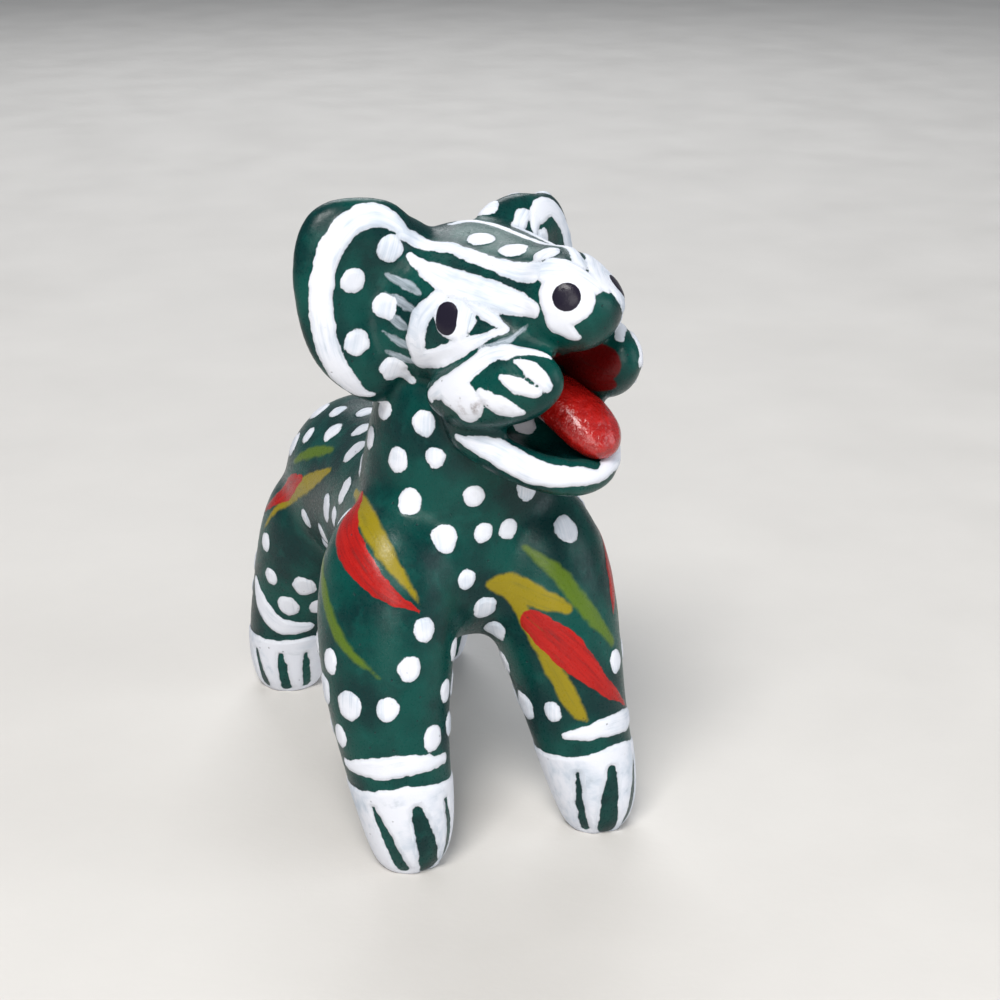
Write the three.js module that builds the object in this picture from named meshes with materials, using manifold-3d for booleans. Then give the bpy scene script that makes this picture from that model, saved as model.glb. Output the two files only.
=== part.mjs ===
// A small hand-modelled clay animal, standing on four feet with its head turned and its mouth open.
// Millimetres, +Z up. The animal faces -Y, so its own left side is +X.
// Each lump of clay that the maker rolls, shapes and presses onto the next is a solid of its own:
// torso, neck, four legs, tail, head, two ears, two whisker pads, nose, lower jaw and tongue.
import * as THREE from "three";
import { mergeVertices } from "three/addons/utils/BufferGeometryUtils.js";
import Module from "manifold-3d";

const wasm = await Module();
wasm.setup();

// Driving dimensions.
const feet = {
  frontRight: [-7.9, -17],
  frontLeft: [7.9, -17],
  hindRight: [-7.7, 17],
  hindLeft: [6.2, 17],
};
const soleDepth = 0.5; // how far a foot is flattened where it stands
const headYaw = 20; // degrees, towards the animal's left
const headPlace = [-0.3, -10.1, 43.2]; // the point between the ears that the head is built round
const earSplay = 21; // degrees that each ear faces outwards from straight ahead
const leftEarDrop = [0, 0, -2.2]; // the left ear sits lower than the right one
const lutingGap = 0.3; // between a lump and the one it is pressed onto

const glaze = { roughness: 0.55, metalness: 0 };
const green = new THREE.MeshStandardMaterial({ color: 0x0b4a40, ...glaze });
const white = new THREE.MeshStandardMaterial({ color: 0xdcdcdf, ...glaze });
const red = new THREE.MeshStandardMaterial({ color: 0xa31510, ...glaze });

const vector = ([x, y, z]) => new THREE.Vector3(x, y, z);
const shifted = (points, [dx, dy, dz]) => points.map(([x, y, z]) => [x + dx, y + dy, z + dz]);
const mirrored = (points) => points.map(([x, y, z]) => [-x, y, z]);

// The outer surface of a rolled lump. Oval rings follow a smooth spine from tip to tip.
// girth gives each spine point's half width and half height, and lift is the direction of the height.
// A higher bluntness makes squarer tips, and grow swells the lump all over.
function lumpGeometry(shape, grow = 0) {
  const { spine, girth, lift = [0, 0, 1], bluntness = 3, around = 20, along = 14 } = shape;
  const line = new THREE.CatmullRomCurve3(spine.map(vector));
  const girths = girth.map((g) => (Array.isArray(g) ? g : [g, g]));
  const sizes = new THREE.CatmullRomCurve3(
    girths.map(([wide, tall], i) => new THREE.Vector3(wide, tall, i)),
    false,
    "catmullrom",
  );
  const geometry = new THREE.SphereGeometry(1, around, along);
  const ball = geometry.attributes.position;
  const onBall = new THREE.Vector3();
  for (let i = 0; i < ball.count; i++) {
    onBall.fromBufferAttribute(ball, i);
    const share = THREE.MathUtils.clamp((1 - onBall.y) / 2, 0, 1);
    const ring = Math.hypot(onBall.x, onBall.z);
    const fullness = ring < 1e-6 ? 0 : (1 - Math.abs(onBall.y) ** bluntness) ** (1 / bluntness);
    const size = sizes.getPoint(share);
    const forward = line.getTangent(share);
    const side = forward.clone().cross(vector(lift)).normalize();
    const up = side.clone().cross(forward);
    const point = line.getPoint(share).addScaledVector(forward, -onBall.y * grow);
    if (fullness > 0) {
      point.addScaledVector(side, (onBall.x / ring) * fullness * (size.x + grow));
      point.addScaledVector(up, (-onBall.z / ring) * fullness * (size.y + grow));
    }
    ball.setXYZ(i, point.x, point.y, point.z);
  }
  return geometry;
}

// A closed geometry as a solid that can be cut and joined, in the frame that matrix leads to.
function solidOf(geometry, matrix = new THREE.Matrix4()) {
  const bare = geometry.clone();
  bare.deleteAttribute("normal");
  bare.deleteAttribute("uv");
  const merged = mergeVertices(bare.applyMatrix4(matrix), 1e-4);
  return new wasm.Manifold(
    new wasm.Mesh({
      numProp: 3,
      vertProperties: merged.attributes.position.array,
      triVerts: new Uint32Array(merged.index.array),
    }),
  );
}

function geometryOf(solid, matrix = new THREE.Matrix4()) {
  const { vertProperties, triVerts } = solid.getMesh();
  const geometry = new THREE.BufferGeometry();
  geometry.setAttribute("position", new THREE.BufferAttribute(vertProperties, 3));
  geometry.setIndex(new THREE.BufferAttribute(triVerts, 1));
  return geometry.applyMatrix4(matrix);
}

// What is left of a cut lump is its largest remaining body, without the crumbs.
function largestBody(solid) {
  return solid.decompose().reduce((best, body) => (body.volume() > best.volume() ? body : best));
}

// Adds a lump to a group, with the soft hollows that are pressed into it.
function addLump(group, name, material, shape, hollows = []) {
  let solid = solidOf(lumpGeometry(shape));
  for (const hollow of hollows) solid = solid.subtract(solidOf(lumpGeometry(hollow)));
  const mesh = new THREE.Mesh(geometryOf(largestBody(solid)), material);
  mesh.name = name;
  mesh.userData.shape = shape;
  group.add(mesh);
  mesh.updateMatrixWorld(true);
  return mesh;
}

// Seats a lump against its neighbours: it gives way to each of them, and keeps the luting gap.
function seat(mesh, ...neighbours) {
  let solid = solidOf(mesh.geometry, mesh.matrixWorld);
  for (const neighbour of neighbours) {
    const swollen = lumpGeometry(neighbour.userData.shape, lutingGap);
    solid = solid.subtract(solidOf(swollen, neighbour.matrixWorld));
  }
  mesh.geometry = geometryOf(largestBody(solid), mesh.matrixWorld.clone().invert());
}

const figure = new THREE.Group();
const head = new THREE.Group();
head.position.copy(vector(headPlace));
head.rotation.z = THREE.MathUtils.degToRad(headYaw);
figure.add(head);
figure.updateMatrixWorld(true);

// Body. The torso is widest at the chest and rounds off at the rump, and the neck rises from the chest.
const torso = addLump(figure, "torso", green, {
  spine: [
    [-1.6, -16.5, 22.6], [-1.8, -11.5, 22.6], [-1.5, -3.5, 22.1],
    [-1.3, 4.5, 21.5], [-1.5, 12, 20.6], [-1.2, 19.5, 19],
  ],
  girth: [[7, 6.8], [8.8, 7.8], [7.6, 7.2], [7.2, 7], [7.7, 7.8], [6.6, 6.4]],
  around: 28,
  along: 24,
});

const neck = addLump(figure, "neck", green, {
  spine: [[-1.6, -9, 21], [-1.2, -9.5, 28], [-0.8, -10, 33.5], [-0.6, -10, 40]],
  girth: [[8.6, 8], [7.4, 7.2], [6.8, 6.6], [6.4, 6.2]],
  lift: [0, 1, 0],
  around: 24,
});

// Head, in its own turned frame: the nose points along -Y.
const skull = addLump(
  head,
  "head",
  green,
  {
    spine: [[0, 7, -2.2], [0, 2, -2.4], [0, -3.5, -1.9], [0, -7.5, -0.9], [0, -11.6, -0.3]],
    girth: [[5.8, 5.2], [8, 6.3], [7.3, 5.6], [5.3, 4.4], [3.6, 3.3]],
    around: 28,
    along: 20,
  },
  [
    {
      spine: [[0, -3.5, -7.6], [0, -8, -6.6], [0, -14, -5.6]],
      girth: [[3.6, 1.8], [4, 2.4], [3.4, 2]],
    },
  ],
);
seat(neck, torso, skull);

const nose = addLump(head, "nose", green, {
  spine: [[0, -6.8, 0.8], [0, -10.3, 0.2], [0.1, -14.1, -1]],
  girth: [[3.6, 3.2], [3.7, 3.7], [3.2, 3.2]],
  bluntness: 2.2,
});
seat(nose, skull);

// An ear is a flat dish, square at the top and tapering down the cheek, with a broad hollow in front.
const splay = THREE.MathUtils.degToRad(earSplay);
const earFacing = [-Math.sin(splay), -Math.cos(splay), 0.08];
const earShape = {
  spine: [[-7.2, 1.4, -8.4], [-8.3, 1.8, -3.8], [-8.7, 2.1, 1.2], [-8.3, 2.4, 6.6]],
  girth: [[2, 1.2], [4.3, 1.7], [4.9, 1.8], [5, 1.5]],
  lift: earFacing,
  bluntness: 3.2,
  around: 28,
  along: 18,
};
const earHollow = {
  spine: [[-8.4, -1.1, -6.6], [-9.2, -0.8, -1.4], [-9.3, -0.5, 5.4]],
  girth: [[1.6, 1.1], [3.7, 2], [4.1, 1.8]],
  lift: earFacing,
  around: 32,
  along: 22,
};
const toLeft = (shape, move) => ({
  ...shape,
  spine: shifted(mirrored(shape.spine), move),
  lift: mirrored([shape.lift ?? [0, 0, 1]])[0],
});
const rightEar = addLump(head, "right_ear", green, earShape, [earHollow]);
const leftEarParts = [earShape, earHollow].map((shape) => toLeft(shape, leftEarDrop));
const leftEar = addLump(head, "left_ear", green, leftEarParts[0], [leftEarParts[1]]);
seat(rightEar, skull, neck);
seat(leftEar, skull, neck);

// Whisker pads hang at each side of the upper lip.
const padShape = {
  spine: [[-3.4, -13.2, -4.2], [-4.3, -10.4, -4.9], [-5.6, -7.2, -6], [-6.6, -3, -7]],
  girth: [[1.4, 1.8], [2.1, 2.7], [2.3, 2.6], [1.6, 1.8]],
};
const rightPad = addLump(head, "right_whisker_pad", white, padShape);
const leftPad = addLump(head, "left_whisker_pad", white, toLeft(padShape, [0, 0, 0]));
seat(rightPad, skull, nose, neck);
seat(leftPad, skull, nose, neck);

// The lower jaw is a scoop, and the tongue is pressed into its floor.
const tongue = addLump(head, "tongue", red, {
  spine: [[1.1, -4.6, -7], [1.3, -8.5, -7.9], [1.4, -11.3, -9.4], [1.2, -13.2, -10.7]],
  girth: [[2.2, 1.4], [2.5, 1.6], [2.3, 1.5], [1.7, 1.2]],
  around: 16,
});
seat(tongue, skull, neck, rightPad, leftPad);

const jaw = addLump(
  head,
  "lower_jaw",
  green,
  {
    spine: [[0, -1, -8], [0, -6, -9.7], [0, -10, -11.3], [0, -13.4, -12.7]],
    girth: [[6.6, 2.9], [6.7, 2.7], [5.3, 2.3], [3.4, 1.7]],
    around: 24,
  },
  [
    {
      spine: [[0, 0, -4.6], [0, -6, -7.3], [0, -10, -9.2], [0, -12.5, -10.6]],
      girth: [[5.4, 2.6], [5.4, 2.5], [4.1, 2.1], [2.5, 1.4]],
      around: 24,
    },
  ],
);
seat(jaw, skull, neck, tongue, rightPad, leftPad);

// Legs. Each is a tapered roll that leans into the body and is flattened where it stands.
const legs = {
  front_right_leg: {
    spine: [
      [...feet.frontRight, -soleDepth], [-8.3, -16.7, 4.5], [-8.9, -15.8, 10],
      [-8.8, -14.3, 16], [-7.4, -12.4, 22], [-5, -10.5, 26],
    ],
    girth: [3.5, 3.7, 4.2, 5, 5.6, 5.2],
  },
  front_left_leg: {
    spine: [
      [...feet.frontLeft, -soleDepth], [7, -16.7, 4.5], [5.9, -15.9, 10],
      [5, -14.5, 16], [3.8, -12.6, 22], [1.8, -10.5, 26],
    ],
    girth: [3.4, 3.6, 4, 4.8, 5.4, 5.2],
  },
  hind_right_leg: {
    spine: [
      [...feet.hindRight, -soleDepth], [-7.6, 16.5, 4.5], [-6.7, 15.2, 10],
      [-5.5, 13.5, 15.5], [-4, 11.5, 21],
    ],
    girth: [3.6, 3.7, 4.3, [5, 5.6], [5.2, 5.8]],
  },
  hind_left_leg: {
    spine: [
      [...feet.hindLeft, -soleDepth], [6, 16.5, 4.5], [5, 15.2, 10],
      [3.6, 13.5, 15.5], [2, 11.5, 21],
    ],
    girth: [3.6, 3.7, 4.3, [5, 5.6], [5.2, 5.8]],
  },
};
const dryingBoard = solidOf(new THREE.BoxGeometry(80, 80, 10).translate(0, 0, -5));
for (const [name, shape] of Object.entries(legs)) {
  const leg = addLump(figure, name, green, {
    lift: [0, 1, 0],
    bluntness: 4,
    along: 16,
    ...shape,
  });
  seat(leg, torso, neck);
  leg.geometry = geometryOf(solidOf(leg.geometry).subtract(dryingBoard));
}

// Tail. A thin roll that leaves the rump and curls down towards the left hock.
const tail = addLump(figure, "tail", green, {
  spine: [[-1, 16, 22.5], [-0.5, 21.5, 22], [0.8, 24.2, 17.5], [2, 24, 12.5], [3.6, 24.8, 8.5]],
  girth: [2.4, 2.4, 2.1, 1.8, 1.4],
  lift: [1, 0, 0],
  around: 16,
});
seat(tail, torso);

// The origin is the middle of the figure's box, on the surface that the soles rest on.
const box = new THREE.Box3().setFromObject(figure, true);
const middle = box.getCenter(new THREE.Vector3());
figure.position.set(-middle.x, -middle.y, -box.min.z);

export default figure;
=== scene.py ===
import math

import bpy
import numpy as np
from mathutils import Matrix, Vector
from mathutils import noise as clayNoise
from mathutils.bvhtree import BVHTree
from mathutils.interpolate import poly_3d_calc


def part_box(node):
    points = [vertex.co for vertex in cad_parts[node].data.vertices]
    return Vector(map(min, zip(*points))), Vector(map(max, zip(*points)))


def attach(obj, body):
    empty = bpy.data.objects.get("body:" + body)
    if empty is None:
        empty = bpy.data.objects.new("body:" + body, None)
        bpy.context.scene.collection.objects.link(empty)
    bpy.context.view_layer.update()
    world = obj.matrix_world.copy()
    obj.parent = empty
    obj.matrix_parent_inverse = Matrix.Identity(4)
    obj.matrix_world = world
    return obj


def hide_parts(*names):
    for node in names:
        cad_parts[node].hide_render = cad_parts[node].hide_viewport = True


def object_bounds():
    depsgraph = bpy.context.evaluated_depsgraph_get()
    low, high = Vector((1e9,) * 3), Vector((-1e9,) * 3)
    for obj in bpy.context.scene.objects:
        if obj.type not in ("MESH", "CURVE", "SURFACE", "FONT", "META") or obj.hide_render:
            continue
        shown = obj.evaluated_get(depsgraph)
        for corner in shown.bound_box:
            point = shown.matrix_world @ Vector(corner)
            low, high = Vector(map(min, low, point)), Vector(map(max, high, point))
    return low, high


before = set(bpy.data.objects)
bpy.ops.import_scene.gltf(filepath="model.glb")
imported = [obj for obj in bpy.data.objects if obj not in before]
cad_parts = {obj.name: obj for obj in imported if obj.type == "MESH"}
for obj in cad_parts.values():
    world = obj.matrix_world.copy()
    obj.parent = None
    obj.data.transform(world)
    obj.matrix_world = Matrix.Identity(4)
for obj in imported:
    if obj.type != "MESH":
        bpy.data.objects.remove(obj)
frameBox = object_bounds()
mm = 0.001


def onlySelect(*objects):
    bpy.ops.object.select_all(action="DESELECT")
    for o in objects:
        o.select_set(True)
    bpy.context.view_layer.objects.active = objects[0]


def applyModifier(o, kind, **settings):
    onlySelect(o)
    modifier = o.modifiers.new(kind.lower(), kind)
    for name, value in settings.items():
        setattr(modifier, name, value)
    bpy.ops.object.modifier_apply(modifier=modifier.name)


def swell(o, amount):  # along the normals, in millimetres
    applyModifier(o, "DISPLACE", strength=amount * mm, mid_level=0)


def remesh(o, size):
    applyModifier(o, "REMESH", mode="VOXEL", voxel_size=size * mm)


def smooth(o, rounds):
    applyModifier(o, "SMOOTH", factor=0.5, iterations=rounds)


def clayCopy(name, nodes, amount):  # copies of CAD lumps, each swollen over the gap to its neighbour
    onlySelect(*[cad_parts[n] for n in nodes])
    bpy.ops.object.duplicate()
    lumps = bpy.context.selected_objects[:]
    for lump in lumps:
        onlySelect(lump)
        bpy.ops.object.mode_set(mode="EDIT")
        bpy.ops.mesh.select_all(action="SELECT")
        bpy.ops.mesh.remove_doubles(threshold=1e-6)
        bpy.ops.object.mode_set(mode="OBJECT")
        swell(lump, amount)
    onlySelect(*lumps)
    if len(lumps) > 1:
        bpy.ops.object.join()
    clay = bpy.context.view_layer.objects.active
    for key in list(clay.keys()):  # the copy brings the CAD node's own marks
        del clay[key]
    clay.parent = None
    clay.name = clay.data.name = name
    return clay


# The clay: each group of lumps is pressed together, then rubbed. More rubs make softer joints.
clay = {
    "whole": {"press": 0.35, "voxel": 0.2, "rubs": 12},
    "body": {
        "nodes": [
            "torso", "neck", "front_right_leg", "front_left_leg", "hind_right_leg", "hind_left_leg", "tail",
        ],
        "press": 0.5,  # mm, how far the lumps spread into each other
        "voxel": 0.35,
        "rubs": 45,
    },
    "skull": {
        "nodes": ["head", "nose", "right_ear", "left_ear"],
        "press": 0.6,
        "voxel": 0.25,
        "rubs": 36,
    },
    "muzzle": {
        "nodes": ["right_whisker_pad", "left_whisker_pad", "lower_jaw"],
        "press": 0.4,
        "voxel": 0.25,
        "rubs": 12,
    },
}

# The head is turned on the neck. Its features are placed from the point between the ears.
headTurn = math.radians(20)
headPlace = Vector((1.2, -11.2, 43.2)) * mm
headFrame = Matrix.Translation(headPlace) @ Matrix.Rotation(headTurn, 4, "Z")

# Clay smeared between the lumps: place and half sizes in millimetres, in the head's frame
smears = {
    "skull": {
        "noseBridge": ((0, -8, 0.2), (3.7, 5.4, 3.9)),
        "rightCheek": ((-4.4, -6.4, -3.2), (2.5, 5, 2.6)),
        "leftCheek": ((4.4, -6.4, -3.2), (2.5, 5, 2.6)),
        "rightEarRoot": ((-5.2, 1.8, 2.3), (3.6, 2.4, 3.2)),
        "leftEarRoot": ((5.2, 1.8, 0.6), (3.6, 2.4, 3.2)),
        "leftEarRidge": ((6.7, 2.3, 2.6), (4.7, 2, 2.8)),
    },
    "muzzle": {
        "throat": ((0, 0.5, -8.6), (5.2, 4, 3)),
    },
}


def smear(place, halfSizes):
    bpy.ops.object.select_all(action="DESELECT")
    bpy.ops.mesh.primitive_uv_sphere_add(segments=32, ring_count=20, radius=1)
    lump = bpy.context.active_object
    sizes = Matrix.Diagonal((*[h * mm for h in halfSizes], 1))
    lump.data.transform(headFrame @ Matrix.Translation(Vector(place) * mm) @ sizes)
    return lump


def rub(lumps, how, kept):  # melts the swollen lumps into one, and takes most of the swelling back
    remesh(lumps, how["voxel"])
    swell(lumps, -kept * how["press"])
    remesh(lumps, how["voxel"])
    smooth(lumps, how["rubs"])
    return lumps


def pressTogether(group):
    how = clay[group]
    lumps = clayCopy(group + "Clay", how["nodes"], how["press"])
    added = [smear(*m) for m in smears.get(group, {}).values()]
    onlySelect(lumps, *added)
    if added:
        bpy.ops.object.join()
    return rub(lumps, how, 0.85)


def makeSkin():
    onlySelect(*[pressTogether(group) for group in ("body", "skull", "muzzle")])
    bpy.ops.object.join()
    whole = bpy.context.view_layer.objects.active
    whole.name = "skin"
    remesh(whole, 0.25)
    swell(whole, clay["whole"]["press"])
    return rub(whole, clay["whole"], 0.95)


def thumbPress(whole, press):  # a thumb's dent, deepest in its middle
    middle = headFrame @ (Vector(press["place"]) * mm)
    for point in whole.data.vertices:
        away = (point.co - middle).length / (press["reach"] * mm)
        if away < 1:
            point.co.z -= press["depth"] * mm * (1 - away**2) ** 2
    whole.data.update()


nosePress = {"place": (1.2, -12.5, 3), "reach": 4, "depth": 1}
skin = makeSkin()
thumbPress(skin, nosePress)
print("clay pressed and rubbed together:", len(skin.data.vertices), "points")


# Brush work. Every mark is a line of points laid on the clay, with its half width in mm at each point, and
# every colour keeps one field: how deep inside its marks a point of the skin is, in mm.
bpy.context.view_layer.update()
skinTree = BVHTree.FromObject(skin, bpy.context.evaluated_depsgraph_get())
skinPoints = np.zeros(len(skin.data.vertices) * 3)
skin.data.vertices.foreach_get("co", skinPoints)
skinPoints = skinPoints.reshape(-1, 3) / mm
skinNormals = np.array([v.normal for v in skin.data.vertices])
colours = ["yellow", "olive", "red", "white", "wash", "green", "black", "mouthRedAndShade", "grime"]
field = {colour: np.full(len(skinPoints), -1.0) for colour in colours}
bristles = skinPoints * (0.5, 0.5, 1) + 40  # along the stroke, across it, and a number of the stroke's own
dabRandom = np.random.default_rng(7)

# The lines that run up the middle of the limbs, and along the trunk
limbAxes = {
    "frontRight": [(-6.4, -18.1, 0), (-7.3, -15.4, 16), (-5.5, -13, 24)],
    "frontLeft": [(9.4, -18.1, 0), (6.5, -15.6, 16), (4.6, -13.2, 24)],
    "hindRight": [(-6.2, 15.9, 0), (-4, 12.4, 15.5)],
    "hindLeft": [(7.7, 15.9, 0), (5.1, 12.4, 15.5)],
    "chest": [(0, -10.6, 16), (0.6, -10.8, 40)],
}
trunkMiddle = (0.1, 21.5)  # x and z


def onLimb(limb, turn, height):  # turn in degrees from straight ahead towards the right side, height in mm
    xs, ys, zs = zip(*limbAxes[limb])
    middle = Vector((np.interp(height, zs, xs), np.interp(height, zs, ys), height)) * mm
    outwards = Vector((-math.sin(math.radians(turn)), -math.cos(math.radians(turn)), 0))
    return skinTree.ray_cast(middle, outwards)[0]


def onTrunk(turn, along):  # turn in degrees from the spine down the right side, along is y in mm
    x, z = trunkMiddle
    outwards = Vector((-math.sin(math.radians(turn)), 0, math.cos(math.radians(turn))))
    return skinTree.ray_cast(Vector((x, along, z)) * mm, outwards)[0]


def onHead(x, y, z):  # mm in the head's frame
    return skinTree.find_nearest(headFrame @ (Vector((x, y, z)) * mm))[0]


def onNape(x, z):  # straight onto the back of the head and ears
    forwards = headFrame.to_3x3() @ Vector((0, -1, 0))
    return skinTree.ray_cast(headFrame @ (Vector((x, 20, z)) * mm), forwards)[0]


def smoothLine(points, step=0.12):  # a curve through the points, as points closer together
    points = np.array(points, float)
    if len(points) < 2:
        return points
    ends = np.vstack([2 * points[0] - points[1], points, 2 * points[-1] - points[-2]])
    line = []
    for a, b, c, d in zip(ends, ends[1:], ends[2:], ends[3:]):
        count = max(2, int(np.linalg.norm((c - b)[:3]) / step))
        t = np.linspace(0, 1, count, endpoint=False)[:, None]
        squared, cubed = 2 * a - 5 * b + 4 * c - d, 3 * b - 3 * c + d - a
        line.append(0.5 * (2 * b + (c - a) * t + squared * t**2 + cubed * t**3))
    return np.vstack([*line, points[-1:]])


def lay(colour, points, widths):  # points in metres on or near the skin, half widths in mm
    found = [(p, w) for p, w in zip(points, widths) if p is not None]
    if not found:
        return
    line = smoothLine([(*(p / mm), w) for p, w in found])
    width = np.maximum(line[:, 3], 0.02)
    snapped = [skinTree.find_nearest(Vector(p) * mm) for p in line[:, :3]]
    spots = np.array([s[0] / mm for s in snapped])
    facing = np.array([s[1] for s in snapped])
    along = np.gradient(spots, axis=0) if len(spots) > 1 else np.array([[0.3, 0.1, 1.0]])
    sideways = np.cross(facing, along)
    sideways /= np.maximum(np.linalg.norm(sideways, axis=1), 1e-6)[:, None]
    strokeNumber = dabRandom.uniform(0, 30)
    reach = width.max() + 0.7
    inside = (skinPoints > spots.min(0) - reach) & (skinPoints < spots.max(0) + reach)
    near = np.where(np.all(inside, axis=1))[0]
    for part in np.array_split(near, max(1, len(near) * len(spots) // 2000000)):
        gap = np.linalg.norm(skinPoints[part][:, None] - spots[None], axis=2)
        depth = np.where(skinNormals[part] @ facing.T > 0.1, width - gap, -1.0)
        best = depth.argmax(1)
        depth = depth[np.arange(len(part)), best]
        newer = (depth > field[colour][part]) & (depth > -0.2)
        spot = best[newer]
        offset = skinPoints[part[newer]] - spots[spot]
        bristles[part[newer]] = np.stack([spot * 0.12, (offset * sideways[spot]).sum(1),
                                          np.full(len(spot), strokeNumber)], axis=1)
        field[colour][part] = np.maximum(field[colour][part], depth)


def stroke(colour, place, limb, marks):  # marks are the place's coordinates and then a half width
    at = [place(*([limb] if limb else []), *m[:-1]) for m in marks]
    lay(colour, at, [m[-1] for m in marks])


# Flames: long strokes round the shoulders and flanks. Each point is a turn, a height and a half width.
flames = {
    "rightShoulder": [
        ("yellow", "chest", [(110, 26.5, 0.3), (75, 27, 0.8), (50, 25, 0.7), (35, 21.5, 0.1)]),
        ("red", "chest", [(90, 27, 0.5), (70, 25.5, 1.2), (50, 23, 0.8), (35, 21, 0.1)]),
        ("olive", "chest", [(100, 24, 0.2), (75, 22, 0.5), (60, 19, 0.5), (45, 16.5, 0.1)]),
    ],
    "leftShoulder": [
        ("yellow", "frontLeft", [(45, 20.5, 0.7), (35, 16.5, 0.7), (20, 12, 0.7), (10, 10.5, 0.2)]),
        ("red", "frontLeft", [(35, 18.5, 1), (15, 16.5, 1.35), (-10, 13.5, 0.8), (-45, 10.5, 0.1)]),
        ("olive", "frontLeft", [(20, 24, 0.3), (0, 22, 0.65), (-15, 19, 0.65), (-35, 16, 0.4)]),
        ("yellow", "chest", [(0, 21.5, 0.4), (-15, 21, 1.1), (-30, 19.5, 0.5)]),
        ("red", "frontLeft", [(-80, 23.5, 0.3), (-60, 21, 0.9), (-45, 18, 0.2)]),
        ("yellow", "frontLeft", [(-100, 23, 0.3), (-80, 20.5, 0.6), (-60, 16.5, 0.1)]),
    ],
}
# On the flanks the marks are turn, along and half width, and both sides have the same ones
flankFlames = [
    ("olive", [(75, 9, 0.3), (60, 6, 0.6), (50, 3, 0.3)]),
    ("yellow", [(60, 1, 0.3), (80, 5, 0.8), (105, 10, 0.5), (120, 12.5, 0.1)]),
    ("red", [(80, 6.5, 0.3), (95, 9.5, 0.9), (115, 13.5, 0.2)]),
]
# Dots stand in rows that are shifted against each other. Each keeps off everything that is already painted.
dotRows = {
    "size": 0.82, "room": 0.45,
    "limbs": {  # lowest and highest row, step between rows in mm, step round the limb in degrees
        "chest": (19.5, 36, 2.9, 32),
        "frontRight": (11, 19, 3.1, 38),
        "frontLeft": (11, 19, 3.1, 38),
        "hindRight": (9.5, 15, 2.8, 42),
        "hindLeft": (9.5, 15, 2.8, 42),
    },
    "trunk": {"first": -4, "last": 17, "rowStep": 3.1, "turnStep": 27},
    "nape": {"low": -5, "high": 5, "rowStep": 3, "across": 10.5, "step": 3.2},
    "tail": {"rowStep": 2.4, "turnStep": 100, "size": 0.6},
}
# Feet: the height of the white toes' edge at some turns, a band above it, and the gaps between the toes.
# The left feet are the right ones mirrored.
paws = {
    "front": {
        "edge": [(-180, 6.5), (-45, 7.2), (15, 8), (60, 7.2), (180, 6.5)],
        "band": [(75, 9, 0.3), (40, 9.4, 0.75), (10, 9.7, 0.75), (-35, 9.2, 0.25)],
        "gaps": [(50, 0.5), (6, 0.8), (-32, 0.4)],  # turn and half width
        "gapTop": 6,
    },
    "hind": {
        "edge": [(-180, 5.7), (0, 6), (60, 5.6), (180, 5.6)],
        "band": [(95, 11, 0.4), (75, 9, 0.9), (45, 7.4, 0.8), (10, 7.3, 0.5)],
        "gaps": [(80, 0.4), (40, 0.5), (2, 0.45)],
        "gapTop": 4.2,
    },
}
limbSides = {
    "frontRight": ("front", 1), "frontLeft": ("front", -1),
    "hindRight": ("hind", 1), "hindLeft": ("hind", -1),
}


def isBare(spot, room):  # nothing is painted within that many millimetres
    near = np.linalg.norm(skinPoints - np.array(spot) / mm, axis=1) < room
    return all(field[colour][near].max(initial=-1) < 0 for colour in colours)


def dot(place, size):
    tall = size * dabRandom.uniform(0.1, 0.5)
    if place is not None and isBare(place, size + dotRows["room"]):
        up = Vector((0, 0, tall / 2)) * mm
        lay("white", [place - up, place + up], [size * 0.95, size])


def dotSize():
    return dotRows["size"] * dabRandom.uniform(0.75, 1.2)


def paintDots():
    for limb, (low, high, rowStep, turnStep) in dotRows["limbs"].items():
        for row, height in enumerate(np.arange(low, high, rowStep)):
            for turn in np.arange((row % 2) * turnStep / 2, 360, turnStep):
                turnNow = turn + dabRandom.uniform(-5, 5)
                dot(onLimb(limb, turnNow, height + dabRandom.uniform(-0.4, 0.4)), dotSize())
    rows = dotRows["trunk"]
    for row, along in enumerate(np.arange(rows["first"], rows["last"], rows["rowStep"])):
        for turn in np.arange((row % 2) * rows["turnStep"] / 2, 360, rows["turnStep"]):
            dot(onTrunk(turn + dabRandom.uniform(-4, 4), along + dabRandom.uniform(-0.4, 0.4)), dotSize())
    rows = dotRows["nape"]
    for row, height in enumerate(np.arange(rows["low"], rows["high"], rows["rowStep"])):
        for x in np.arange((row % 2) * rows["step"] / 2 - rows["across"], rows["across"], rows["step"]):
            dot(onNape(x, height), dotSize())


def paintFlames():
    for group in flames.values():
        for colour, limb, marks in group:
            stroke(colour, onLimb, limb, marks)
    for side in (1, -1):
        for colour, marks in flankFlames:
            stroke(colour, onTrunk, None, [(side * turn, along, w) for turn, along, w in marks])


def paintPaws():
    for limb, (kind, side) in limbSides.items():
        paw = paws[kind]
        xs, ys, zs = zip(*limbAxes[limb])
        middle = np.stack([np.interp(skinPoints[:, 2], zs, xs), np.interp(skinPoints[:, 2], zs, ys)], axis=1)
        away = skinPoints[:, :2] - middle
        foot = (np.hypot(*away.T) < 6) & (skinPoints[:, 2] < 9)
        turn = side * np.degrees(np.arctan2(-away[foot, 0], -away[foot, 1]))
        edge = np.interp(turn, *zip(*paw["edge"]))
        field["white"][foot] = np.maximum(field["white"][foot], np.clip(edge - skinPoints[foot, 2], -1, 1))
        stroke("white", onLimb, limb, [(side * turn, height, w) for turn, height, w in paw["band"]])
        for turn, wide in paw["gaps"]:  # each gap widens and leans inwards on its way down
            top = paw["gapTop"]
            gap = [(turn, top, wide * 0.6), (turn - 7, top * 0.6, wide), (turn - 16, 0.9, wide * 1.1)]
            stroke("green", onLimb, limb, [(side * turn, height, w) for turn, height, w in gap])


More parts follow.
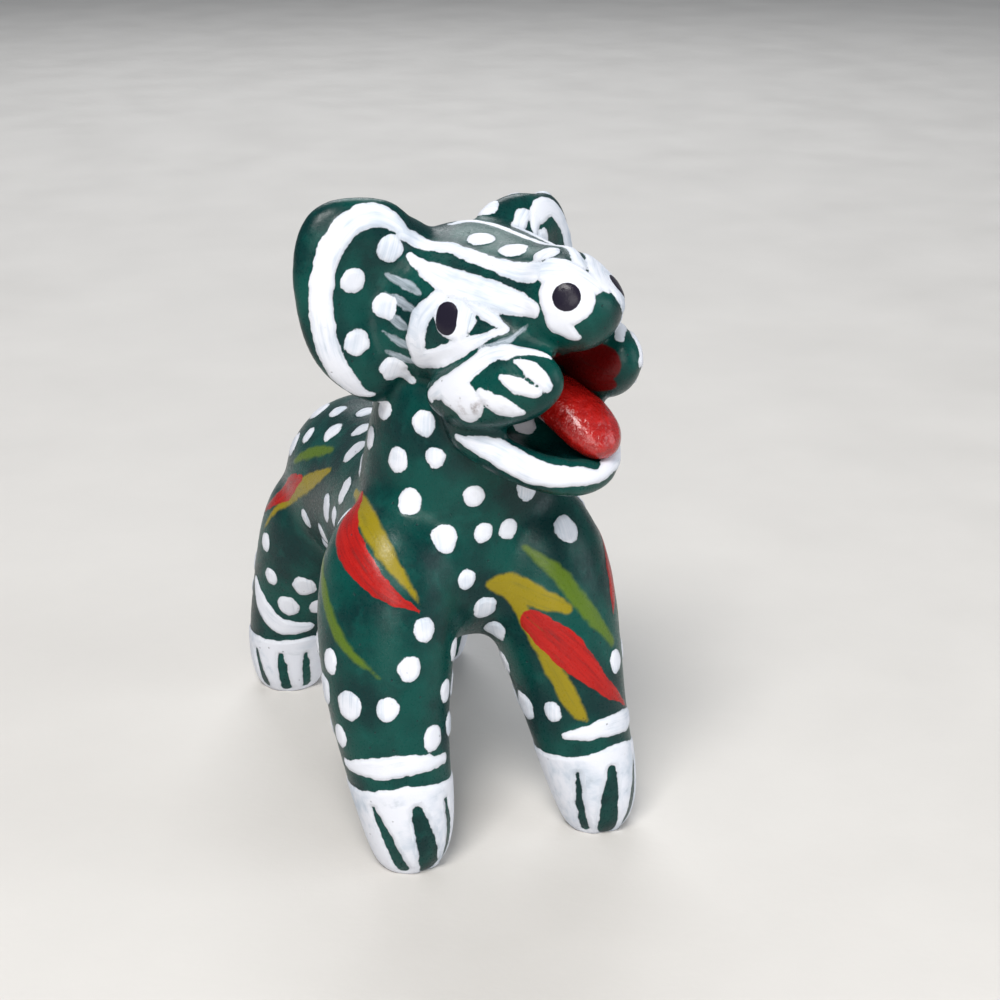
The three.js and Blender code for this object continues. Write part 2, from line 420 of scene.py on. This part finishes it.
# The face, in the head's frame. Each mark is laid on the right side and again, mirrored, on the left.
face = {
    "eyeWhite": ("white", [(-6.3, -5.5, -1, 1.45)]),
    "eyeCorner": ("white", [(-6.5, -4, 0.2, 0.5), (-7.5, -3, -1.5, 0.75), (-7, -2.5, -4, 0.7)]),
    "lowerLid": ("white", [
        (-7, -2.5, -4.5, 0.7), (-6.5, -5, -3.6, 0.7), (-6, -7.5, -2.2, 0.4), (-4.8, -9, -1.4, 0.15),
    ]),
    "upperLid": ("white", [(-5.8, -6, 0.3, 0.3), (-5, -7.8, -0.6, 0.38), (-4.6, -9, -1.4, 0.1)]),
    "pupil": ("black", [(-6.5, -5, -1.4, 0.8), (-6.4, -5, -0.7, 0.8)]),
    "browLow": ("white", [
        (-6, -0.5, 2.5, 0.2), (-5.5, -4, 1.3, 0.95), (-4.5, -7.5, 0.7, 0.95), (-3.5, -10.5, 0.2, 0.6),
    ]),
    "browTop": ("white", [
        (-6, 0, 4, 0.5), (-3.8, -1.5, 3, 0.5), (-3.4, -5, 2.7, 0.5), (-2.7, -9.8, 2.5, 0.8),
    ]),
    "cheekWash": ("wash", [(-6.5, -8, -2.5, 0.15), (-5, -9.3, -2.2, 0.3), (-3.5, -10, -1, 0.1)]),
    "lowLash": ("white", [(-8, 0.5, -5.5, 0.25), (-7, -0.5, -6, 0.45), (-6, -0.5, -6.5, 0.25)]),
    "noseWhite": ("white", [(-2.6, -12.8, 1.3, 1.9)]),
    "noseTop": ("white", [(-2.5, -11, 3, 1), (-1.5, -12.5, 3, 1), (-0.5, -13.5, 2, 0.6)]),
    "noseLow": ("white", [(-3, -12.3, -0.3, 0.85), (-2, -13, -1.5, 0.35)]),
    "nostril": ("black", [(-2.6, -12.8, 1.3, 0.95)]),
    "padTop": ("white", [
        (-7.5, -4.5, -6.5, 0.4), (-7.5, -7, -4.8, 0.85), (-6, -9, -3, 0.6), (-3.5, -12, -3, 0.2),
    ]),
    "padBack": ("white", [(-7.6, -6.5, -5.6, 0.9), (-7.6, -8.2, -6.2, 1.2), (-7.4, -8, -7.2, 0.6)]),
    "padLow": ("white", [(-7.2, -9.3, -5.3, 0.3), (-6.4, -10.6, -6.1, 0.65), (-5.5, -11.5, -6.5, 0.2)]),
    "padPetalTop": ("white", [(-5.5, -11, -3, 0.1), (-5, -12, -3.5, 0.5), (-4.5, -13, -4.5, 0.35)]),
    "padPetalLow": ("white", [(-6.5, -10.5, -4, 0.1), (-6, -11.5, -4.5, 0.5), (-5, -12.5, -5, 0.3)]),
    "padGrime": ("grime", [(-7.5, -8, -6.5, 0.9), (-6.5, -10.5, -6, 0.7)]),
    "rim": ("white", [
        (-6.5, -6, -9.5, 0.15), (-5.5, -9, -10, 0.85), (-4, -11.5, -11.3, 0.85), (0, -13.6, -12, 0.4),
    ]),
    # the mouth's lining: dark red paint, darkened further as painted shade inside the mouth
    "palate": ("mouthRedAndShade", [(0, -3, -7, 2.4), (-1, -7, -6, 2.6), (-1, -12, -4.5, 1.2)]),
    "padInside": ("mouthRedAndShade", [(-3, -7.5, -6.5, 1.2), (-2.8, -11.5, -6, 0.8)]),
}
lashes = {"count": 5, "start": (-7.5, 0.4, 1.3), "end": (-7, -2.6, 0.4), "drop": 1.35, "halfWidth": 0.4}
ears = {  # the middle of each ear's face, how far the white band runs from it, and the dots inside the band
    "right": {"middle": (-8.6, 1.3, -0.9), "reach": (4, 6.3), "side": -1},
    "left": {"middle": (8.8, 1.5, -2.7), "reach": (3.6, 6.2), "side": 1},
    "bandTurns": (-95, 140, 18),  # degrees up from the outer side, and how many points
    "halfWidth": 0.8,
    "dots": {"count": 5, "top": 4, "step": 2.1, "apart": 1.4, "halfWidth": 0.88},
}
crown = {
    "line": [(-1, 1, 4, 0.2), (1, 0, 4, 0.3), (1.5, -4, 3.6, 0.3), (1, -9, 3.6, 0.4), (-0.2, -12, 3.4, 0.5)],
    "dots": {"count": 3, "first": (-1.6, -3, 3.5), "step": (0.2, -3.2, 0), "halfWidth": 0.95},
}


def paintEar(ear):
    x, y, z = ear["middle"]
    wide, tall = ear["reach"]
    low, high, count = ears["bandTurns"]
    band = []
    for turn in np.linspace(low, high, count):
        angle = math.radians(turn)
        taper = min(1, (turn - low + 4) / 40, (high - turn + 8) / 40)
        place = (x + ear["side"] * wide * math.cos(angle), y, z + tall * math.sin(angle))
        band.append((*place, ears["halfWidth"] * taper))
    stroke("white", onHead, None, band)
    dots = ears["dots"]
    for i in range(dots["count"]):
        shift = dots["apart"] * (1 if i % 2 else -1) * ear["side"]
        place = (x + shift, y - 1, z + dots["top"] - i * dots["step"])
        stroke("white", onHead, None, [(*place, dots["halfWidth"])])


def paintFace():
    for side in (1, -1):
        for colour, marks in face.values():
            stroke(colour, onHead, None, [(side * x, y, z, w) for x, y, z, w in marks])
        for i in range(lashes["count"]):
            (x, y, z), (endX, endY, endZ) = lashes["start"], lashes["end"]
            z, endZ, wide = z - i * lashes["drop"], endZ - i * lashes["drop"], lashes["halfWidth"]
            middle = (side * (x + endX) / 2, (y + endY) / 2, (z + endZ) / 2, wide)
            first, last = (side * x, y, z, wide / 3), (side * endX, endY, endZ, wide / 2)
            stroke("wash", onHead, None, [first, middle, last])
    for name in ("right", "left"):
        paintEar(ears[name])
    stroke("white", onHead, None, crown["line"])
    for i in range(crown["dots"]["count"]):
        place = [a + i * b for a, b in zip(crown["dots"]["first"], crown["dots"]["step"])]
        stroke("white", onHead, None, [(*place, crown["dots"]["halfWidth"])])


def paintTail():
    rows = dotRows["tail"]
    low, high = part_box("tail")
    for row, height in enumerate(np.arange(low.z / mm + 2, high.z / mm - 1, rows["rowStep"])):
        turn = math.radians(row * rows["turnStep"])
        middle = Vector(((low.x + high.x) / 2, (low.y + high.y) / 2 + mm, height * mm))
        outwards = Vector((math.sin(turn), math.cos(turn), 0)) * 3 * mm
        dot(skinTree.find_nearest(middle + outwards)[0], rows["size"])


paintPaws()
paintFlames()
paintFace()
paintDots()
paintTail()
field["white"] = np.minimum(field["white"], -field["green"])

# The brush wandered: every edge is moved in and out a little
wanders = {"broad": (0.14, 1.1), "fine": (0.08, 2.6)}  # how far in mm, and how many waves in a mm


def wanderAt(point):
    return sum(far * clayNoise.noise(Vector(point) * often) for far, often in wanders.values())


wander = np.array([wanderAt(p) for p in skinPoints])
for colour in ("yellow", "olive", "red", "white", "wash"):
    field[colour] = field[colour] + wander
print("marks laid:", {colour: int((field[colour] > 0).sum()) for colour in colours})


# The paint stands up from the clay, thickest where it is white
relief = {
    "white": 0.13, "wash": 0.03, "red": 0.06, "yellow": 0.04, "olive": 0.03, "black": 0.05, "mouthRedAndShade": 0.02,
}
soleFlat = 0.3  # mm pressed flat under the feet
thickness = np.zeros(len(skinPoints))
for colour, thick in relief.items():
    if colour == "black":  # the pupils and nostrils lie on top of the white
        thickness = thickness + thick * np.clip((field[colour] + 0.06) / 0.3, 0, 1)
    else:
        thickness = np.maximum(thickness, thick * np.clip((field[colour] + 0.14) / 0.34, 0, 1))
painted = skinPoints + skinNormals * thickness[:, None]
painted[:, 2] -= soleFlat * np.clip(1 - painted[:, 2] / 2, 0, 1)
painted = np.clip(painted, np.array(frameBox[0]) / mm, np.array(frameBox[1]) / mm)
skin.data.vertices.foreach_set("co", (painted * mm).ravel())
skin.data.update()
bpy.context.view_layer.update()
paintedTree = BVHTree.FromObject(skin, bpy.context.evaluated_depsgraph_get())
paintedCorners = [tuple(p.vertices) for p in skin.data.polygons]
for colour in colours:
    skin.data.attributes.new(colour, "FLOAT", "POINT").data.foreach_set("value", field[colour])
skin.data.attributes.new("bristles", "FLOAT_VECTOR", "POINT").data.foreach_set("vector", bristles.ravel())
normalNow = np.array([v.normal for v in skin.data.vertices])
skin.data.attributes.new("softNormal", "FLOAT_VECTOR", "POINT").data.foreach_set("vector", normalNow.ravel())
print("paint has thickness")


# The clay is divided where the lumps were joined: the head first, in its own frame, and then the limbs.
# What is left is the torso.
headCuts = {
    "right_ear": [(-16, -0.8, -9.5), (-6.3, 9, 9)],
    "left_ear": [(6.3, -0.8, -12), (16, 9, 7)],
    "nose": [(-5, -17, -2.7), (5, -9.2, 6)],
    "right_whisker_pad": [(-10, -16, -8.6), (-1.8, -6, -2.7)],
    "left_whisker_pad": [(1.8, -16, -8.6), (10, -6, -2.7)],
    "lower_jaw": [(-9, -16, -15), (9, -6, -8.6)],
    "head": [(-12, -16, -8.6), (12, 10, 8)],
}
limbCuts = {
    "neck": [(-13, -24, 28.2), (15, 0, 36)],
    "front_right_leg": [(-16, -24, -2), (0.6, -5, 17.3)],
    "front_left_leg": [(0.6, -24, -2), (16, -5, 17.3)],
    "tail": [(-3, 20.4, 3), (9, 30, 26)],
    "hind_right_leg": [(-13, 4, -2), (0.6, 22, 15.2)],
    "hind_left_leg": [(0.6, 4, -2), (14, 22, 15.2)],
}
tailTilt = Matrix.Rotation(math.radians(8), 4, "X")


def boxCutter(low, high, place):
    bpy.ops.object.select_all(action="DESELECT")
    bpy.ops.mesh.primitive_cube_add(size=1)
    cutter = bpy.context.object
    middle = (Vector(low) + Vector(high)) / 2 * mm
    sizes = (Vector(high) - Vector(low)) * mm
    cutter.data.transform(place @ Matrix.Translation(middle) @ Matrix.Diagonal((*sizes, 1)))
    return cutter


def cutOff(rest, name, low, high, place):
    cutter = boxCutter(low, high, place)
    onlySelect(rest)
    bpy.ops.object.duplicate()
    piece = bpy.context.object
    piece.name = name + "_skin"
    applyModifier(piece, "BOOLEAN", operation="INTERSECT", object=cutter, solver="MANIFOLD")
    applyModifier(rest, "BOOLEAN", operation="DIFFERENCE", object=cutter, solver="MANIFOLD")
    bpy.data.objects.remove(cutter)
    return piece


def dropCrumbs(piece):  # a cut can leave loose slivers: only the biggest part is kept
    name = piece.name
    onlySelect(piece)
    bpy.ops.object.mode_set(mode="EDIT")
    bpy.ops.mesh.select_all(action="SELECT")
    bpy.ops.mesh.separate(type="LOOSE")
    bpy.ops.object.mode_set(mode="OBJECT")
    *crumbs, kept = sorted(bpy.context.selected_objects, key=lambda o: len(o.data.vertices))
    for crumb in crumbs:
        bpy.data.objects.remove(crumb)
    kept.name = name
    return kept


def mendCut(piece):  # points that a cut made take their paint from the whole skin
    mesh = piece.data
    soft = np.zeros(len(mesh.vertices) * 3)
    mesh.attributes["softNormal"].data.foreach_get("vector", soft)
    new = np.where(np.linalg.norm(soft.reshape(-1, 3), axis=1) < 0.9)[0]
    for index in new:
        place, _, face, _ = paintedTree.find_nearest(mesh.vertices[index].co)
        corners = paintedCorners[face]
        shares = poly_3d_calc([Vector(painted[c]) for c in corners], place / mm)
        for name in colours:
            mesh.attributes[name].data[index].value = sum(k * field[name][c] for k, c in zip(shares, corners))
        for name, values in (("bristles", bristles), ("softNormal", normalNow)):
            mesh.attributes[name].data[index].vector = sum(k * values[c] for k, c in zip(shares, corners))
    return len(new)


def softenShading(piece):  # the shading goes on over a cut as if the clay were whole
    mesh = piece.data
    soft = np.zeros(len(mesh.vertices) * 3)
    mesh.attributes["softNormal"].data.foreach_get("vector", soft)
    corner = np.zeros(len(mesh.loops), dtype=int)
    mesh.loops.foreach_get("vertex_index", corner)
    flat = np.array([p.normal for p in mesh.polygons])
    count = np.zeros(len(mesh.polygons), dtype=int)
    mesh.polygons.foreach_get("loop_total", count)
    flat = np.repeat(flat, count, axis=0)
    soft = soft.reshape(-1, 3)[corner]
    soft /= np.maximum(np.linalg.norm(soft, axis=1), 1e-6)[:, None]
    cap = (soft * flat).sum(1) < 0.35
    soft[cap] = flat[cap]
    mesh.normals_split_custom_set(soft)
    mesh.attributes.remove(mesh.attributes["softNormal"])


pieces = {}
for name, (low, high) in headCuts.items():
    pieces[name] = cutOff(skin, name, low, high, headFrame)
for name, (low, high) in limbCuts.items():
    pieces[name] = cutOff(skin, name, low, high, tailTilt if name == "tail" else Matrix())
skin.name = "torso_skin"
pieces["torso"] = skin
for name in pieces:
    piece = pieces[name] = dropCrumbs(pieces[name])
    onlySelect(piece)
    bpy.ops.object.shade_smooth()
    print(name, "points on its cuts:", mendCut(piece))
    softenShading(piece)
print("clay divided:", {name: len(piece.data.polygons) for name, piece in pieces.items()})


# Tongue
tongueClay = {"press": 0.45, "voxel": 0.16, "rubs": 10}
tongue = clayCopy("tongue_skin", ["tongue"], tongueClay["press"])
rub(tongue, tongueClay, 0.8)
onlySelect(tongue)
bpy.ops.object.shade_smooth()
pieces["tongue"] = tongue
print("tongue made")


# Materials. Distances in them are millimetres.
paint = {
    "greenDark": (0.0006, 0.022, 0.022),
    "green": (0.0005, 0.055, 0.045),
    # lighter green for the rubbed patches, and for the painted glints
    "greenWornAndGlint": (0.006, 0.1, 0.082),
    "white": (0.70, 0.72, 0.78),
    "whiteThin": (0.50, 0.56, 0.64),
    "yellow": (0.26, 0.2, 0.006),
    "olive": (0.09, 0.15, 0.01),
    "red": (0.4, 0.012, 0.009),
    "redDark": (0.28, 0.006, 0.006),
    "black": (0.012, 0.010, 0.02),
    # dark red of the mouth's lining, made darker as painted shade inside the mouth
    "mouthRedAndShade": (0.09, 0.002, 0.002),
    "grime": (0.10, 0.055, 0.04),
    "tongue": (0.36, 0.008, 0.006),
    "tongueDark": (0.28, 0.005, 0.004),
}


def node(tree, kind, inputs=None, **settings):
    made = tree.nodes.new("ShaderNode" + kind)
    for name, value in settings.items():
        setattr(made, name, value)
    for name, value in (inputs or {}).items():
        if isinstance(value, bpy.types.NodeSocket):
            tree.links.new(value, made.inputs[name])
        else:
            made.inputs[name].default_value = value
    return made


def millimetres(tree):
    place = node(tree, "TexCoord").outputs["Object"]
    return node(tree, "VectorMath", {0: place, "Scale": 1000}, operation="SCALE").outputs[0]


def noise(tree, place, scale, detail=3, roughness=0.55):
    inputs = {"Vector": place, "Scale": scale, "Detail": detail, "Roughness": roughness}
    return node(tree, "TexNoise", inputs).outputs[0]


def ramp(tree, value, low, high, bottom=0, top=1):
    inputs = {0: value, 1: low, 2: high, 3: bottom, 4: top}
    return node(tree, "MapRange", inputs, interpolation_type="SMOOTHSTEP").outputs[0]


def calc(tree, operation, a, b=0, c=0):
    return node(tree, "Math", {0: a, 1: b, 2: c}, operation=operation).outputs[0]


def blend(tree, amount, below, above):
    inputs = {0: amount, 6: below if isinstance(below, bpy.types.NodeSocket) else (*below, 1),
              7: above if isinstance(above, bpy.types.NodeSocket) else (*above, 1)}
    return node(tree, "Mix", inputs, data_type="RGBA").outputs[2]


def attribute(tree, name, output="Fac"):
    return node(tree, "Attribute", attribute_name=name).outputs[output]


def newMaterial(name):
    material = bpy.data.materials.new(name)
    material.use_nodes = True
    material.node_tree.nodes.clear()
    return material, material.node_tree


def finishMaterial(tree, colour, roughness, height, depth, **fixed):
    bump = node(tree, "Bump", {"Height": height, "Distance": depth * mm, "Strength": 1.0}).outputs[0]
    inputs = {"Base Color": colour, "Roughness": roughness, "Normal": bump, **fixed}
    shader = node(tree, "BsdfPrincipled", inputs).outputs[0]
    node(tree, "OutputMaterial", {"Surface": shader})


def paintedClay():
    material, tree = newMaterial("paintedClay")
    place = millimetres(tree)
    broad = noise(tree, place, 0.22, 3)
    middling = noise(tree, place, 0.9, 4, 0.6)
    fine = noise(tree, place, 4.5, 4, 0.65)
    ragged = calc(tree, "ADD", calc(tree, "MULTIPLY_ADD", middling, 0.16, -0.08),
                  calc(tree, "MULTIPLY_ADD", fine, 0.14, -0.07))
    brush = attribute(tree, "bristles", "Vector")
    combed = node(tree, "VectorMath", {0: brush, 1: (0.35, 3.6, 1)}, operation="MULTIPLY").outputs[0]
    streaks = noise(tree, combed, 1, 3, 0.6)

    # green ground, rubbed lighter here and there, with tiny lighter dots painted in as glints
    base = blend(tree, ramp(tree, broad, 0.35, 0.66), paint["greenDark"], paint["green"])
    base = blend(tree, ramp(tree, middling, 0.5, 0.78, 0, 0.3), base, paint["greenWornAndGlint"])
    # painted glints: tiny lighter spots in the green that stand in for highlights
    paintedGlints = node(tree, "TexVoronoi", {"Vector": place, "Scale": 3.4, "Randomness": 1}).outputs["Distance"]
    paintedGlints = calc(tree, "MULTIPLY", ramp(tree, paintedGlints, 0.05, 0.16, 1, 0), ramp(tree, fine, 0.52, 0.62))
    base = blend(tree, calc(tree, "MULTIPLY", paintedGlints, 0.45), base, paint["greenWornAndGlint"])

    # flames: soft at the edges, thin towards their ends
    colour = base
    softness = {"yellow": (0.22, 0.95), "olive": (0.26, 0.9), "red": (0.06, 1), "mouthRedAndShade": (0.12, 1)}
    for name, (soft, strength) in softness.items():
        edge = calc(tree, "ADD", attribute(tree, name), ragged)
        dryness = ramp(tree, streaks, 0.25, 0.5, 0.78, strength)
        cover = calc(tree, "MULTIPLY", ramp(tree, edge, -soft / 2, soft), dryness)
        hue = paint[name]
        if name == "red":
            hue = blend(tree, ramp(tree, streaks, 0.3, 0.7), paint["redDark"], paint["red"])
        colour = blend(tree, cover, colour, hue)

    # white: thick in the middle, thin and bluish where the brush ran dry
    whiteEdge = calc(tree, "ADD", attribute(tree, "white"), ragged)
    washEdge = calc(tree, "ADD", attribute(tree, "wash"), ragged)
    dry = ramp(tree, streaks, 0.2, 0.42, 0.86, 1)
    dry = calc(tree, "MULTIPLY", dry, ramp(tree, whiteEdge, -0.12, 0.25, 0.86, 1))
    whiteCover = calc(tree, "MULTIPLY", ramp(tree, whiteEdge, -0.13, -0.05), dry)
    washDry = ramp(tree, streaks, 0.3, 0.62, 0.3, 0.65)
    washCover = calc(tree, "MULTIPLY", ramp(tree, washEdge, -0.05, 0.12), washDry)
    hue = blend(tree, ramp(tree, calc(tree, "MULTIPLY_ADD", streaks, 0.5, broad), 0.5, 0.8),
                paint["whiteThin"], paint["white"])
    colour = blend(tree, washCover, colour, paint["whiteThin"])
    colour = blend(tree, whiteCover, colour, hue)

    # pits where the paint has flaked, and grime
    pits = node(tree, "TexVoronoi", {"Vector": place, "Scale": 0.9, "Randomness": 1}).outputs["Distance"]
    pits = calc(tree, "ADD", pits, calc(tree, "MULTIPLY", fine, 0.06))
    pits = calc(tree, "MULTIPLY", ramp(tree, pits, 0.07, 0.13, 1, 0), ramp(tree, broad, 0.45, 0.55))
    colour = blend(tree, calc(tree, "MULTIPLY", pits, 0.5), colour, paint["black"])

    dirt = ramp(tree, attribute(tree, "grime"), 0, 0.9)
    dirt = calc(tree, "MULTIPLY", dirt, ramp(tree, middling, 0.42, 0.66))
    dirt = calc(tree, "MULTIPLY", dirt, ramp(tree, fine, 0.35, 0.6, 0.3, 0.8))
    colour = blend(tree, dirt, colour, paint["grime"])

    blackEdge = calc(tree, "ADD", attribute(tree, "black"), calc(tree, "MULTIPLY", ragged, 0.6))
    blackCover = ramp(tree, blackEdge, -0.02, 0.03)
    colour = blend(tree, blackCover, colour, paint["black"])

    # satin where it is bare green, chalky on the white, glossy on the pupils
    roughness = ramp(tree, fine, 0.3, 0.7, 0.24, 0.42)
    chalk = ramp(tree, streaks, 0.3, 0.7, 0.6, 0.42)
    roughness = node(tree, "Mix", {0: whiteCover, 2: roughness, 3: chalk}).outputs[0]
    roughness = node(tree, "Mix", {0: blackCover, 2: roughness, 3: 0.25}).outputs[0]
    height = calc(tree, "MULTIPLY_ADD", fine, 0.35, calc(tree, "MULTIPLY", middling, 0.6))
    height = calc(tree, "MULTIPLY_ADD", calc(tree, "MULTIPLY", streaks, whiteCover), 0.35, height)
    height = calc(tree, "MULTIPLY_ADD", pits, -0.8, height)
    height = calc(tree, "MULTIPLY_ADD", whiteCover, 0.6, height)
    gloss = {"Coat Weight": 0.03, "Coat Roughness": 0.2, "Specular IOR Level": 0.2}
    finishMaterial(tree, colour, roughness, height, 0.05, **gloss)
    return material


def tonguePaint():
    material, tree = newMaterial("tonguePaint")
    place = millimetres(tree)
    lumps = noise(tree, place, 1.6, 3, 0.5)
    fine = noise(tree, place, 5, 3)
    colour = blend(tree, ramp(tree, lumps, 0.35, 0.65), paint["tongueDark"], paint["tongue"])
    roughness = ramp(tree, fine, 0.3, 0.7, 0.16, 0.3)
    height = calc(tree, "MULTIPLY_ADD", fine, 0.15, lumps)
    finishMaterial(tree, colour, roughness, height, 0.2, **{"Coat Weight": 0.35, "Coat Roughness": 0.12})
    return material


clayPaint = paintedClay()
redPaint = tonguePaint()
for name, piece in pieces.items():
    piece.data.materials.clear()
    piece.data.materials.append(redPaint if name == "tongue" else clayPaint)
    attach(piece, "root")
    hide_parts(name)
print("painted")


# Camera, floor and lights
studio = {
    "azimuth": -22.2, "elevation": 20.5, "distance": 158, "lens": 70, "target": (6.8, -3.3, 22.2),
    "floor": 8000,
    "world": (0.8, 0.86, 0.95), "worldStrength": 0.25,
}
lights = {  # place in mm, size in mm, power in watts, colour
    "key": [(-200, -260, 460), 200, 2.9, (1, 0.98, 0.96)],
    "fill": [(380, -260, 160), 300, 0.7, (0.9, 0.95, 1)],
    "low": [(-90, -320, 130), 160, 0.4, (1, 0.97, 0.94)],
    "back": [(120, 380, 360), 300, 1.1, (0.95, 0.97, 1)],
}


def makeStudio():
    onlySelect(*pieces.values())
    turn, rise = math.radians(studio["azimuth"]), math.radians(studio["elevation"])
    back = Vector((math.sin(turn) * math.cos(rise), -math.cos(turn) * math.cos(rise), math.sin(rise)))
    target = Vector(studio["target"]) * mm
    bpy.ops.object.camera_add(location=target + back * studio["distance"] * mm)
    camera = bpy.context.object
    camera.rotation_euler = (-back).to_track_quat("-Z", "Y").to_euler()
    camera.data.lens = studio["lens"]
    camera.data.sensor_width = 36
    camera.data.clip_start = 0.01
    bpy.context.scene.camera = camera

    bpy.ops.mesh.primitive_plane_add(size=studio["floor"] * mm)
    floor = bpy.context.object
    floor.name = "floor"
    material, tree = newMaterial("paleFloor")
    place = millimetres(tree)
    grain = noise(tree, place, 0.05, 4)
    shade = blend(tree, grain, (0.56, 0.54, 0.51), (0.66, 0.64, 0.61))
    finishMaterial(tree, shade, ramp(tree, grain, 0.3, 0.7, 0.6, 0.75), noise(tree, place, 1.5, 3), 0.02)
    floor.data.materials.append(material)

    for name, (place, size, power, colour) in lights.items():
        bpy.ops.object.light_add(type="AREA", location=Vector(place) * mm)
        light = bpy.context.object
        light.name = name
        light.rotation_euler = (light.location - target).to_track_quat("Z", "Y").to_euler()
        light.data.size = size * mm
        light.data.energy = power
        light.data.color = colour

    world = bpy.data.worlds.new("studio")
    bpy.context.scene.world = world
    world.use_nodes = True
    world.node_tree.nodes["Background"].inputs[0].default_value = (*studio["world"], 1)
    world.node_tree.nodes["Background"].inputs[1].default_value = studio["worldStrength"]
    bpy.context.scene.view_settings.view_transform = "Standard"


makeStudio()
print("studio made")
